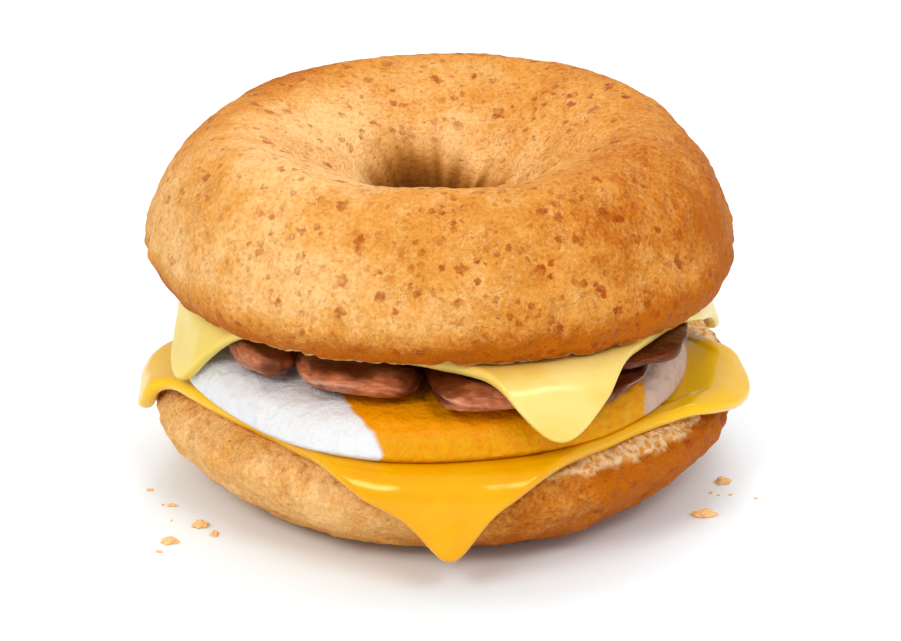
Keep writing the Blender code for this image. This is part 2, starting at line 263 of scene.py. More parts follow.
class CheeseSettings(PropertyGroup):
    """The two cheese slices."""

    cheddar_thickness: length_property("Cheddar thickness", "Of the lower slice", 2.1 * MM)
    pale_thickness: length_property("Pale thickness", "Of the upper slice", 1.8 * MM)
    bead: FloatProperty(
        name="Bead", description="How much thicker the melted rim is", default=0.22, subtype="FACTOR"
    )
    steps: IntProperty(name="Steps", description="Faces round a slice", default=480, min=72)
    cheddar: colour_property("Cheddar", "The lower slice", (0.725, 0.345, 0.0005))
    cheddar_deep: colour_property("Deep cheddar", "Its richer streaks", (0.72, 0.305, 0.0))
    # The cheddar's outer corners are a brighter yellow: painted light on its corners.
    cheddar_outer_lit: colour_property("Outer cheddar", "At its left and right corners", (0.84, 0.475, 0.001))
    pale: colour_property("Pale cheese", "The upper slice", (0.783, 0.594, 0.18))
    pale_deep: colour_property("Deep pale cheese", "Its richer streaks", (0.765, 0.513, 0.099))
    pale_outer: colour_property("Outer pale cheese", "At its left and right corners", (0.77, 0.56, 0.09))


class EggSettings(PropertyGroup):
    """The round egg."""

    radius: length_property("Radius", "Of the whole egg", 47.3 * MM)
    yolk_radius: length_property("Yolk radius", "Of the yolk's outline", 27.43 * MM)
    lump: length_property("Lump", "Height of the small lumps", 0.26 * MM)
    white: colour_property("White", "The cooked white", (0.69, 0.685, 0.685))
    # Painted shade on the white's right side, tinted as if by light off the bacon.
    white_painted_shade: colour_property("White shade", "Where juices have tinted it", (0.54, 0.36, 0.279))
    yolk: colour_property("Yolk", "The cooked yolk", (0.67, 0.3, 0.0))
    yolk_deep: colour_property("Deep yolk", "Its richer grains", (0.666, 0.234, 0.0))
    # Painted shade along the yolk's upper edge, where it lies under the bacon.
    yolk_rim_shade: colour_property("Yolk rim", "Along its upper edge, under the bacon", (0.74, 0.262, 0.0))


class BaconSettings(PropertyGroup):
    """The rashers of bacon."""

    wrinkle: length_property("Wrinkle", "Depth of the wrinkles", 0.9 * MM)
    crease: length_property("Crease", "Depth of the fold along the front end", 0.15 * MM)
    lean: colour_property("Lean", "The meat", (0.351, 0.09, 0.0306))
    lean_light: colour_property("Light lean", "Its paler fibres", (0.5, 0.17, 0.078))
    # Dark lean serves as the grilled colour and as painted shade.
    lean_dark: colour_property("Dark lean", "Where it is grilled", (0.095, 0.0165, 0.0027))
    fat: colour_property("Fat", "The thin line of fat", (0.648, 0.378, 0.27))


class StageSettings(PropertyGroup):
    """The table, the lights and the camera."""

    table: colour_property("Table", "A plain pale top", (0.88, 0.955, 0.99))
    sky: FloatProperty(name="Sky", description="Strength of the light from all round", default=0.74)
    key: FloatProperty(name="Key", description="Power of the light on the left", default=7.7, unit="POWER")
    fill: FloatProperty(name="Fill", description="Power of the light on the right", default=4.6, unit="POWER")
    top: FloatProperty(name="Top", description="Power of the overhead light", default=4.9, unit="POWER")
    distance: length_property("Distance", "From the camera to the sandwich", 867 * MM)
    elevation: FloatProperty(
        name="Elevation", description="Of the camera", default=math.radians(22.25), subtype="ANGLE"
    )
    lens: FloatProperty(name="Lens", description="Focal length", default=186.4, unit="CAMERA")


def heading(azimuth):
    """The horizontal unit vector at an azimuth in radians."""
    return Vector((math.sin(azimuth), -math.cos(azimuth), 0))


def azimuth_of(point):
    return math.atan2(point.x, -point.y)


def radius_of(point):
    return math.hypot(point.x, point.y)


def smoothstep(low, high, value):
    t = min(1.0, max(0.0, (value - low) / (high - low)))
    return t * t * (3 - 2 * t)


def bump(azimuth, middle, width):
    """A smooth hill of height 1 round one azimuth. The azimuth is in radians, the others in degrees."""
    off = math.remainder(azimuth - math.radians(middle), 2 * math.pi)
    return math.exp(-((off / math.radians(width)) ** 2))


def ridges(point, size):
    """Noise folded along its middle, so that it is 1 on thin winding lines and falls away from them."""
    return 1 - min(1.0, 2.2 * abs(noise.noise(point / size)))


def superellipse(centre, radii, power, start, end, count=90):
    """Points along a superellipse in the (radius, height) plane, from one angle in degrees to another."""
    points = []
    for i in range(count + 1):
        angle = math.radians(start + (end - start) * i / count)
        c, s = math.cos(angle), math.sin(angle)
        x = math.copysign(abs(c) ** (2 / power), c)
        z = math.copysign(abs(s) ** (2 / power), s)
        points.append((centre[0] + radii[0] * x, centre[1] + radii[1] * z))
    return points


def evenly(points, spacing):
    """The same open line with its points an even distance apart, without its last point."""
    lengths = [0.0]
    for start, end in zip(points, points[1:]):
        lengths.append(lengths[-1] + math.dist(start, end))
    count = max(1, round(lengths[-1] / spacing))
    result = []
    i = 0
    for k in range(count):
        target = lengths[-1] * k / count
        while lengths[i + 1] < target:
            i += 1
        t = (target - lengths[i]) / (lengths[i + 1] - lengths[i])
        result.append(tuple(a + (b - a) * t for a, b in zip(points[i], points[i + 1])))
    return result


def turned(profile, steps, closed=False):
    """The shape that a (radius, height) profile sweeps out round the Z axis."""
    shape = bmesh.new()
    verts = [shape.verts.new((radius, 0, height)) for radius, height in profile]
    pairs = list(zip(verts, verts[1:]))
    if closed:
        pairs.append((verts[-1], verts[0]))
    edges = [shape.edges.new(pair) for pair in pairs]
    bmesh.ops.spin(
        shape,
        geom=verts + edges,
        cent=(0, 0, 0),
        axis=(0, 0, 1),
        dvec=(0, 0, 0),
        angle=2 * math.pi,
        steps=steps,
        use_merge=True,
    )
    bmesh.ops.remove_doubles(shape, verts=shape.verts, dist=1e-7)
    bmesh.ops.recalc_face_normals(shape, faces=shape.faces)
    shape.normal_update()
    return shape


def reshape(shape, move, *tags):
    """Takes each vertex to move(position, normal), which also gives a value for each named tag."""
    layers = [shape.verts.layers.float.new(tag) for tag in tags]
    results = [move(vertex.co.copy(), vertex.normal.copy()) for vertex in shape.verts]
    for vertex, result in zip(shape.verts, results):
        place, *values = result if tags else (result,)
        vertex.co = place
        for layer, value in zip(layers, values):
            vertex[layer] = value


def set_down(name, shape, place, material, slot, *nodes, crease=math.pi):
    """Makes a shape a piece at its place, which rides with the sandwich and stands for its solids.

    It is smooth, but for edges that turn by more than the crease angle.
    """
    bmesh.ops.translate(shape, verts=shape.verts, vec=place)
    mesh = bpy.data.meshes.new(name)
    shape.to_mesh(mesh)
    shape.free()
    mesh.materials.append(material)
    mesh.shade_smooth()
    if crease < math.pi:
        mesh.set_sharp_from_angle(angle=crease)
    piece = bpy.data.objects.new(name, mesh)
    bpy.context.scene.collection.objects.link(piece)
    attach(piece, "root")
    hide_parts(*nodes)
    return piece


def add_node(tree, kind, inputs=None, **settings):
    """A shader node, its inputs set to values or linked from other sockets."""
    node = tree.nodes.new(kind)
    for name, value in settings.items():
        setattr(node, name, value)
    for key, value in (inputs or {}).items():
        if isinstance(value, bpy.types.NodeSocket):
            tree.links.new(value, node.inputs[key])
        else:
            node.inputs[key].default_value = value
    return node


def noise_of(tree, where, size, detail=2.0, distortion=0.0):
    """Noise with features of a size in metres."""
    inputs = {"Vector": where, "Scale": 1 / size, "Detail": detail, "Distortion": distortion}
    return add_node(tree, "ShaderNodeTexNoise", inputs).outputs["Fac"]


def ranged(tree, value, low, high, start=0.0, end=1.0):
    """A value taken smoothly from low..high to start..end."""
    inputs = {"Value": value, "From Min": low, "From Max": high, "To Min": start, "To Max": end}
    node = add_node(tree, "ShaderNodeMapRange", inputs, interpolation_type="SMOOTHSTEP")
    return node.outputs["Result"]


def varied(tree, value, start, end):
    """A noise texture's value taken smoothly to start..end."""
    return ranged(tree, value, NOISE_LOW, NOISE_HIGH, start, end)


def maths(tree, operation, first, second=0.0):
    return add_node(tree, "ShaderNodeMath", {0: first, 1: second}, operation=operation).outputs[0]


def vectors(tree, operation, first, second):
    return add_node(tree, "ShaderNodeVectorMath", {0: first, 1: second}, operation=operation).outputs[0]


def coordinate(tree, where, axis):
    return add_node(tree, "ShaderNodeSeparateXYZ", {"Vector": where}).outputs[axis]


def away_from(tree, where, middle):
    """The level vector to each point from an upright line through the middle, and its length."""
    flat = vectors(tree, "MULTIPLY", vectors(tree, "ADD", where, tuple(-middle)), LEVEL)
    length = add_node(tree, "ShaderNodeVectorMath", {0: flat}, operation="LENGTH").outputs["Value"]
    return flat, length


def mixed(tree, factor, first, second):
    """One colour faded into another. A Mix node's colour sockets are only told apart by number."""
    inputs = {0: factor, 6: first, 7: second}
    return add_node(tree, "ShaderNodeMix", inputs, data_type="RGBA").outputs[2]


def bumped(tree, height, distance, strength=1.0, normal=None):
    inputs = {"Height": height, "Distance": distance, "Strength": strength}
    if normal is not None:
        inputs["Normal"] = normal
    return add_node(tree, "ShaderNodeBump", inputs).outputs["Normal"]


def tag_of(tree, name):
    """A value that the mesh holds at each vertex."""
    return add_node(tree, "ShaderNodeAttribute", attribute_name=name).outputs["Fac"]


def new_material(name, **sockets):
    """A material, its tree, its shader and its Object coordinates. The sockets named are set once for all."""
    material = bpy.data.materials.new(name)
    material.use_nodes = True
    tree = material.node_tree
    shader = tree.nodes["Principled BSDF"]
    for key, value in sockets.items():
        shader.inputs[key.replace("_", " ").title().replace("Ior", "IOR")].default_value = value
    where = add_node(tree, "ShaderNodeTexCoord").outputs["Object"]
    return material, tree, shader, where


def finish_material(tree, shader, colour, normal, roughness=None):
    tree.links.new(colour, shader.inputs["Base Color"])
    tree.links.new(normal, shader.inputs["Normal"])
    if roughness is not None:
        tree.links.new(roughness, shader.inputs["Roughness"])


def flecks(tree, where, spacing, size, share):
    """Spots of uneven size and outline, one at most to each cell of a random pattern."""
    wobble = add_node(
        tree, "ShaderNodeTexNoise", {"Vector": where, "Scale": 1 / (0.3 * spacing), "Detail": 3.0}
    )
    nudge = add_node(
        tree,
        "ShaderNodeVectorMath",
        {0: wobble.outputs["Color"], "Scale": 0.5 * spacing},
        operation="SCALE",
    )
    bent = vectors(tree, "ADD", where, nudge.outputs[0])
    cells = add_node(tree, "ShaderNodeTexVoronoi", {"Vector": bent, "Scale": 1 / spacing, "Randomness": 1.0})
    draw = add_node(tree, "ShaderNodeSeparateColor", {"Color": cells.outputs["Color"]}).outputs["Red"]
    reach = ranged(tree, draw, 1 - share, 1.0, 0.0, size / spacing)
    inner = maths(tree, "SUBTRACT", reach, cells.outputs["Distance"])
    return ranged(tree, inner, 0.0, 0.3 * size / spacing)


def crust_material(bagel):
    """Toasted crust, from pale stretched dough to browned, with malted flecks, pores, torn crumb and painted
    shade down the hole.
    """
    material, tree, shader, where = new_material(
        "Toasted crust", specular_ior_level=0.1, specular_tint=(1, 0.7, 0.35, 1)
    )
    torn = tag_of(tree, "crumb")

    clouds = noise_of(tree, where, 15 * MM, 3)
    mottle = noise_of(tree, where, 3.6 * MM, 4)
    speckle = noise_of(tree, where, 0.8 * MM, 3)
    tone = tag_of(tree, "toast")
    for unevenness, reach in ((clouds, 0.14), (mottle, 0.09), (speckle, 0.11)):
        tone = maths(tree, "ADD", tone, varied(tree, unevenness, -reach, reach))
    colour = mixed(tree, ranged(tree, tone, -0.08, 0.58), bagel.pale, bagel.golden)
    colour = mixed(tree, ranged(tree, tone, 0.45, 1.1), colour, bagel.browned)

    patches = ranged(tree, noise_of(tree, where, 20 * MM, 1), 0.38, 0.62, 0.45, 1.0)
    large = flecks(tree, where, 3.5 * MM, 1.4 * MM, 0.8)
    middling = flecks(tree, where, 1.9 * MM, 0.9 * MM, 0.85)
    tiny = flecks(tree, where, 1.0 * MM, 0.42 * MM, 0.8)
    spots = maths(tree, "MAXIMUM", large, maths(tree, "MULTIPLY", middling, patches))
    spots = maths(tree, "MAXIMUM", spots, maths(tree, "MULTIPLY", tiny, 0.4))
    faded = ranged(tree, noise_of(tree, where, 2.2 * MM, 2), 0.35, 0.65, 0.45, 1.0)
    faded = maths(tree, "MULTIPLY", faded, ranged(tree, torn, 0.2, 0.7, 1.0, 0.3))
    spots = maths(tree, "MULTIPLY", spots, maths(tree, "MULTIPLY", faded, tag_of(tree, "malted")))
    colour = mixed(tree, spots, colour, bagel.fleck)

    curls = winding(tree, noise_of(tree, where, 2.6 * MM, 2, 1.6), 0.05)
    curls = maths(tree, "MULTIPLY", curls, ranged(tree, noise_of(tree, where, 6 * MM, 2), 0.42, 0.62))
    curls = maths(tree, "MAXIMUM", maths(tree, "MULTIPLY", curls, 0.75), stretch_lines(tree, where))
    shown = maths(tree, "MULTIPLY", curls, ranged(tree, tone, 0.3, 1.2, 0.6, 0.1))
    colour = mixed(tree, shown, colour, bagel.pale)

    holes = noise_of(tree, where, 1.3 * MM, 4)
    crumb_tone = mixed(tree, ranged(tree, holes, 0.38, 0.58), bagel.golden, bagel.crumb)
    colour = mixed(tree, torn, colour, crumb_tone)
    # Painted shade going down into the hole, over crust that is browner there.
    hole_shade = tag_of(tree, "hole_shade")
    colour = mixed(tree, ranged(tree, hole_shade, 0.0, 0.75), colour, bagel.shaded)
    colour = mixed(tree, ranged(tree, hole_shade, 0.35, 1.0), colour, bagel.hole_shade)

    normal = bumped(tree, holes, 0.8 * MM, 0.9)
    normal = bumped(tree, speckle, 0.55 * MM, 0.9, normal)
    normal = bumped(tree, noise_of(tree, where, 0.35 * MM, 2), 0.17 * MM, 0.9, normal)
    raised = maths(tree, "ADD", maths(tree, "MULTIPLY", curls, 0.7), maths(tree, "MULTIPLY", spots, -0.5))
    normal = bumped(tree, raised, 0.17 * MM, 0.8, normal)
    roughness = ranged(tree, spots, 0.0, 1.0, 0.66, 0.5)
    finish_material(tree, shader, colour, normal, roughness)
    return material


def winding(tree, value, width):
    """Thin winding lines where a noise crosses its middle."""
    return ranged(tree, maths(tree, "ABSOLUTE", maths(tree, "SUBTRACT", value, 0.5)), width, 0.0)


def stretch_lines(tree, where):
    """Fine pale lines that run out of the hole, where the dough was pulled.

    The noise is read by direction, and only slowly by radius, so that its lines are drawn out.
    """
    flat, radius = away_from(tree, where, CROWN_PLACE)
    way = add_node(tree, "ShaderNodeVectorMath", {0: flat}, operation="NORMALIZE").outputs[0]
    rise = add_node(tree, "ShaderNodeCombineXYZ", {"Z": maths(tree, "MULTIPLY", radius, 18.0)}).outputs[0]
    along = vectors(tree, "ADD", way, rise)
    lines = add_node(tree, "ShaderNodeTexNoise", {"Vector": along, "Scale": 11.0, "Detail": 3.0})
    return maths(tree, "MULTIPLY", winding(tree, lines.outputs["Fac"], 0.03), tag_of(tree, "pulled"))


def cheese_material(name, light, deep, outer, roughness, bleed, tint):
    """Melted cheese: glossy, lit through, with soft streaks, its side corners another yellow, which on the
    cheddar is brighter as painted light.
    """
    material, tree, shader, where = new_material(
        name,
        roughness=roughness,
        specular_ior_level=0.5,
        specular_tint=(*tint, 1),
        subsurface_weight=0.1,
        subsurface_radius=bleed,
        subsurface_scale=1.0,
        coat_weight=0.32,
        coat_roughness=0.1,
    )
    streaks = noise_of(tree, where, 13 * MM, 3, 0.6)
    colour = mixed(tree, ranged(tree, streaks, 0.35, 0.65), light, deep)
    # Another yellow at the left and right corners; on the cheddar it is a brighter yellow, painted light on
    # its corners.
    aside = maths(tree, "ABSOLUTE", coordinate(tree, where, "X"))
    colour = mixed(tree, ranged(tree, aside, 26 * MM, 46 * MM), colour, outer)
    normal = bumped(tree, noise_of(tree, where, 5 * MM, 2), 0.25 * MM, 0.5)
    normal = bumped(tree, noise_of(tree, where, 0.7 * MM, 2), 0.03 * MM, 0.6, normal)
    finish_material(tree, shader, colour, normal)
    return material


def egg_material(name, egg):
    """Cooked egg: a lumpy white with painted shade towards its right, tinted as if by light off the bacon,
    that turns to grained yolk at its outline, the yolk's upper edge in a warmer painted shade.
    """
    material, tree, shader, where = new_material(
        name,
        roughness=0.42,
        specular_ior_level=0.1,
        subsurface_weight=0.12,
        subsurface_radius=(3 * MM, 1.6 * MM, 0.8 * MM),
        subsurface_scale=1.0,
    )
    # Painted shade towards the right of the white, tinted as if by light off the bacon.
    right = ranged(tree, coordinate(tree, where, "X"), 16 * MM, 36 * MM)
    white = mixed(tree, right, egg.white, egg.white_painted_shade)
    grains = noise_of(tree, where, 1.6 * MM, 4)
    yolk = mixed(tree, ranged(tree, grains, 0.35, 0.68), egg.yolk, egg.yolk_deep)
    # Painted shade: a warmer orange along the yolk's upper edge, under the bacon.
    rim = ranged(tree, coordinate(tree, where, "Z"), EGG_TOP - 4 * MM, EGG_TOP - 1 * MM)
    yolk = mixed(tree, rim, yolk, egg.yolk_rim_shade)
    _flat, distance = away_from(tree, where, EGG_PLACE + yolk_offset())
    uneven = varied(tree, noise_of(tree, where, 6 * MM, 1), -0.5 * MM, 0.5 * MM)
    past = maths(tree, "SUBTRACT", maths(tree, "ADD", distance, uneven), egg.yolk_radius)
    colour = mixed(tree, ranged(tree, past, -0.5 * MM, 0.5 * MM), yolk, white)
    normal = bumped(tree, noise_of(tree, where, 2.6 * MM, 3), 0.9 * MM, 0.9)
    normal = bumped(tree, noise_of(tree, where, 0.6 * MM, 2), 0.16 * MM, 0.9, normal)
    finish_material(tree, shader, colour, normal)
    return material


def bacon_material(bacon):
    """Grilled bacon: reddish-brown lean with fibres, darker where it is grilled and with painted shade, and a
    line of fat.
    """
    material, tree, shader, where = new_material(
        "Grilled bacon", specular_ior_level=0.42, specular_tint=(1, 0.58, 0.4, 1)
    )
    fibres = add_node(tree, "ShaderNodeMapping", {"Vector": where, "Scale": (0.45, 1, 1.6)}).outputs[0]
    threads = noise_of(tree, fibres, 1.5 * MM, 4, 0.8)
    blotches = noise_of(tree, where, 7 * MM, 2)
    colour = mixed(tree, ranged(tree, threads, 0.38, 0.66), bacon.lean, bacon.lean_light)
    # The tag holds the grilled colour together with painted shade.
    grilled_and_shaded = maths(tree, "ADD", tag_of(tree, "grilled_and_shaded"), varied(tree, blotches, -0.3, 0.3))
    colour = mixed(tree, ranged(tree, grilled_and_shaded, 0.2, 0.95), colour, bacon.lean_dark)
    colour = mixed(tree, tag_of(tree, "fat"), colour, bacon.fat)
    normal = bumped(tree, threads, 0.5 * MM, 0.6)
    normal = bumped(tree, noise_of(tree, where, 0.5 * MM, 2), 0.08 * MM, 0.6, normal)
    roughness = varied(tree, blotches, 0.25, 0.42)
    finish_material(tree, shader, colour, normal, roughness)
    return material


def plain_material(name, colour, roughness):
    material, _tree, shader, _where = new_material(name, roughness=roughness)
    shader.inputs["Base Color"].default_value = colour
    return material


def crust_relief(point, seed):
    """How far the crust stands out of the turned form: slow lumps, then smaller crags."""
    lumps = noise.noise(point / (24 * MM) + seed)
    crags = noise.noise(point / (9 * MM) - seed)
    return 0.9 * MM * lumps + 0.45 * MM * crags


def hole_folds(point, crest_radius):
    """Creases that the dough's twist leaves, running out of the hole and fading towards the crest."""
    azimuth = azimuth_of(point)
    depth = sum(fold.depth * bump(azimuth, fold.azimuth, fold.width) for fold in HOLE_FOLDS)
    return depth * (1 - smoothstep(0.55 * crest_radius, 1.15 * crest_radius, radius_of(point)))


def crown_profile(bagel):
    """Up the hole's wall, over the crest, down to the cut edge and back under."""
    inside = (bagel.crest_radius - bagel.hole_radius, CROWN_HEIGHT - THROAT)
    outside = (bagel.radius - bagel.crest_radius, CROWN_HEIGHT - CROWN_GIRTH_HEIGHT)
    throat_edge = (bagel.hole_radius + THROAT_FLARE, 0)
    cut_edge = (CROWN_CUT_RADIUS, 0)
    crust = [throat_edge]
    crust += superellipse((bagel.crest_radius, THROAT), inside, 1.5, 180, 90)
    crust += superellipse((bagel.crest_radius, CROWN_GIRTH_HEIGHT), outside, 1.8, 90, 0)[1:]
    crust += superellipse(CROWN_ROLL_MIDDLE, CROWN_ROLL_RADII, 2, -12, -42, 12)
    crust += [cut_edge]
    return evenly(crust, 0.78 * MM) + evenly([cut_edge, throat_edge], 1.6 * MM)


def crown_shape(bagel):
    """The upper half, its cut face at height 0."""
    shape = turned(crown_profile(bagel), bagel.steps, closed=True)

    def move(point, normal):
        azimuth = azimuth_of(point)
        radius = radius_of(point)
        way = heading(azimuth)
        above_cut = smoothstep(0.5 * MM, 6 * MM, point.z)
        relief = crust_relief(point, CROWN_SEED) - hole_folds(point, bagel.crest_radius)
        place = point + normal * relief * above_cut
        gathers = ridges(way * 14 * MM + Vector((0, 0, 0.12 * radius)), 5 * MM)
        place -= normal * 0.9 * MM * gathers * (1 - smoothstep(10 * MM, 24 * MM, radius)) * above_cut
        torn = noise.noise(point / (5 * MM) + CROWN_SEED) * smoothstep(44 * MM, 49 * MM, radius)
        place += way * 0.7 * MM * torn * (1 - above_cut)
        low = (1 - smoothstep(2 * MM, 12 * MM, point.z)) * smoothstep(40 * MM, 48 * MM, radius)
        place += way * (1.5 * bump(azimuth, 58, 24) - 1.6 * bump(azimuth, 2, 26)) * MM * low
        place -= way * 0.9 * MM * bump(azimuth, 112, 30) * smoothstep(36 * MM, 48 * MM, radius)

        flank = smoothstep(1 * MM, 5 * MM, point.z) * (1 - smoothstep(9 * MM, 24 * MM, point.z))
        flank *= smoothstep(38 * MM, 50 * MM, radius)
        crumpled = 0.35 + 0.65 * flank + 1.2 * flank * bump(azimuth, 14, 30)
        creased = ridges(place + CROWN_SEED * MM, 5.5 * MM) * crumpled
        fine = noise.noise(place / (2.1 * MM))
        place += normal * bagel.wrinkle * (1.2 * creased - 0.5 + 0.6 * fine) * above_cut
        edge = (1 - smoothstep(0.2 * MM, 2.4 * MM, point.z)) * smoothstep(43 * MM, 47.5 * MM, radius)
        rag = noise.noise(place / (2.6 * MM) + CROWN_SEED) + 0.6 * noise.noise(place / (1.1 * MM))
        place += way * bagel.tear * rag * edge
        place.z += 0.8 * bagel.tear * abs(rag) * edge

        crumb = 1 - smoothstep(0, 0.6 * MM, point.z + 0.2 * MM * rag)
        if radius < 20 * MM:
            crumb = 1 - smoothstep(0, 1 * MM, point.z)
        malted = 0.7 + 0.3 * smoothstep(*CROWN_RIGHT, point.x)
        return place, crown_toast(point), crumb, crown_pulled(point), crown_hole_shade(point), malted

    reshape(shape, move, *CRUST_TAGS)
    return shape


def crown_toast(point):
    """How toasted the crown is: more to the right, along the crest and at the back left, and browner low
    down, where the crust turns under, which is partly toasting and partly painted shade.
    """
    azimuth = azimuth_of(point)
    radius = radius_of(point)
    right = smoothstep(*CROWN_RIGHT, point.x)
    slope = 1 - smoothstep(12 * MM, 34 * MM, radius)
    crest = math.exp(-(((radius - 46 * MM) / (9 * MM)) ** 2)) * smoothstep(10 * MM, 22 * MM, point.z)
    flank = bump(azimuth, 78, 26) * smoothstep(44 * MM, 53 * MM, radius)
    # Low down, where the crust turns under: partly toasting, partly painted shade.
    low = (1 - smoothstep(0.5 * MM, 10 * MM, point.z)) * smoothstep(40 * MM, 48 * MM, radius)
    back_left = bump(azimuth, -140, 45) * smoothstep(26 * MM, 42 * MM, radius)
    return 0.18 + 0.52 * right + 0.16 * crest - 0.26 * slope + 0.2 * flank + 0.95 * low + 0.6 * back_left


def crown_pulled(point):
    """Where the dough was pulled: in a band round the hole, most of all at its left and right."""
    azimuth = azimuth_of(point)
    radius = radius_of(point)
    band = smoothstep(9 * MM, 16 * MM, radius) * (1 - smoothstep(24 * MM, 40 * MM, radius))
    return band * (0.25 + 0.75 * max(bump(azimuth, -85, 28), bump(azimuth, 88, 22)))


def crown_hole_shade(point):
    """How dark the hole's wall is, as browner crust under painted shade: darkest deep down, and reaching
    further out at the back left, whose wall faces away from the key light.
    """
    azimuth = azimuth_of(point)
    radius = radius_of(point)
    streak = noise.noise(heading(azimuth) * 9 + Vector((0, 0, radius / (9 * MM))))
    reach = (16.5 + 8 * bump(azimuth, -150, 36)) * MM
    hole_shade = 1 - smoothstep(7.5 * MM, reach, radius - 1.3 * MM * streak)
    return hole_shade * smoothstep(0, 2 * MM, point.z)


def heel_profile(bagel):
    """Out along the cut face, over the torn edge, down the crust to the foot and up through the hole."""
    girth = HEEL_GIRTH_HEIGHT
    hole = bagel.hole_radius
    cut = [(hole, HEEL_TOP), (HEEL_FLAT_RADIUS, HEEL_TOP)]
    crust = [(HEEL_FLAT_RADIUS, HEEL_TOP), (HEEL_CUT_RADIUS, HEEL_TOP), *HEEL_SHOULDER]
    crust += superellipse((FOOT_RADIUS, girth), (bagel.radius - FOOT_RADIUS, girth), 1.6, 0, -90)
    foot = [(FOOT_RADIUS, 0), HEEL_HOLE_FLARE[0]]
    wall = [*HEEL_HOLE_FLARE, (hole, HEEL_THROAT_HEIGHT), (hole, HEEL_TOP)]
    return evenly(cut, 1.5 * MM) + evenly(crust, 0.7 * MM) + evenly(foot, 2 * MM) + evenly(wall, 1.5 * MM)


def heel_shape(bagel):
    """The lower half: flat underside, crust curving up to the torn cut edge, and the hole right through."""
    shape = turned(heel_profile(bagel), bagel.steps, closed=True)

    def move(point, normal):
        azimuth = azimuth_of(point)
        radius = radius_of(point)
        way = heading(azimuth)
        on_crust = smoothstep(0.0, 5 * MM, point.z) * smoothstep(30 * MM, 44 * MM, radius)
        below_cut = 1 - smoothstep(15 * MM, 19 * MM, point.z)
        place = point + normal * crust_relief(point, HEEL_SEED) * on_crust * below_cut
        torn = noise.noise(point / (5 * MM) + HEEL_SEED) * smoothstep(48 * MM, HEEL_CUT_RADIUS, radius)
        if point.z > 18 * MM:
            place += way * 0.7 * MM * torn
        if point.z > HEEL_TOP - 0.01 * MM:
            place.z -= 0.35 * MM * abs(torn)
        low = 1 - smoothstep(5 * MM, HEEL_GIRTH_HEIGHT + 3 * MM, point.z)
        out = 2.6 * bump(azimuth, 122, 16) * smoothstep(12 * MM, 18 * MM, point.z)
        out -= 2.4 * bump(azimuth, 60, 30) * low + 1.9 * bump(azimuth, 82, 22)
        place += way * out * MM * smoothstep(20 * MM, 40 * MM, radius)

        creased = ridges(place + HEEL_SEED * MM, 5 * MM)
        fine = noise.noise(place / (2.1 * MM))
        place += normal * bagel.wrinkle * (1.3 * creased - 0.6 + 0.8 * fine) * on_crust * below_cut
        edge = smoothstep(15.5 * MM, 18 * MM, point.z) * smoothstep(48.5 * MM, 50.5 * MM, radius)
        rag = noise.noise(place / (2.4 * MM) + HEEL_SEED) + 0.6 * noise.noise(place / (1.0 * MM))
        place += normal * bagel.tear * (rag - 0.25) * edge

        right = smoothstep(*HEEL_RIGHT, point.x)
        under = 1 - smoothstep(1 * MM, 9 * MM, point.z)
        toast = 0.3 + 0.87 * right + 0.25 * under
        crusted = smoothstep(0.2, 0.45, bump(azimuth, -62, 62))
        crumb = smoothstep(18.2 * MM, 19.0 * MM, point.z + 0.8 * MM * rag) * (1 - crusted)
        if radius < 16 * MM:
            crumb = smoothstep(8 * MM, 14 * MM, point.z)
        pulled = hole_shade = 0.0
        malted = 0.3 + 0.7 * right
        return place, toast, crumb, pulled, hole_shade, malted

    reshape(shape, move, *CRUST_TAGS)
    return shape


def slice_reach(azimuth, cheese):
    """How far a slice's outline lies from the middle: rounded corners between its sides, and the drips."""
    total = 0.0
    for side in cheese.sides:
        facing = math.cos(azimuth - math.radians(side.azimuth))
        total += (max(0.0, facing) / side.distance) ** CORNER_POWER
    reach = total ** (-1 / CORNER_POWER)
    for flap in cheese.flaps:
        reach += flap.drip * bump(azimuth, flap.azimuth, flap.drip_width)
    return reach


def fold_at(azimuth, cheese):
    """The radius at which a slice starts to bend down, and by what angle, blended between its flaps."""
    total = radius = angle = 0.0
    for flap in cheese.flaps:
        facing = math.cos(azimuth - math.radians(flap.azimuth))
        weight = max(0.0, facing) ** 6 + 1e-6
        total += weight
        radius += weight * flap.fold_radius
        angle += weight * math.radians(flap.fold_angle)
    return radius / total, angle / total


def draped(distance, azimuth, cheese, height):
    """Where a point of the flat slice comes to lie, and which way its upper face looks there."""
    fold_radius, fold_angle = fold_at(azimuth, cheese)
    past = max(0.0, distance - fold_radius)
    turn = min(past / cheese.bend, fold_angle)
    rest = past - cheese.bend * turn
    radius = distance - past + cheese.bend * math.sin(turn) + rest * math.cos(turn)
    drop = cheese.bend * (1 - math.cos(turn)) + rest * math.sin(turn)
    way = heading(azimuth)
    up = Vector((0, 0, 1))
    return way * radius + up * (height - drop), way * math.sin(turn) + up * math.cos(turn)


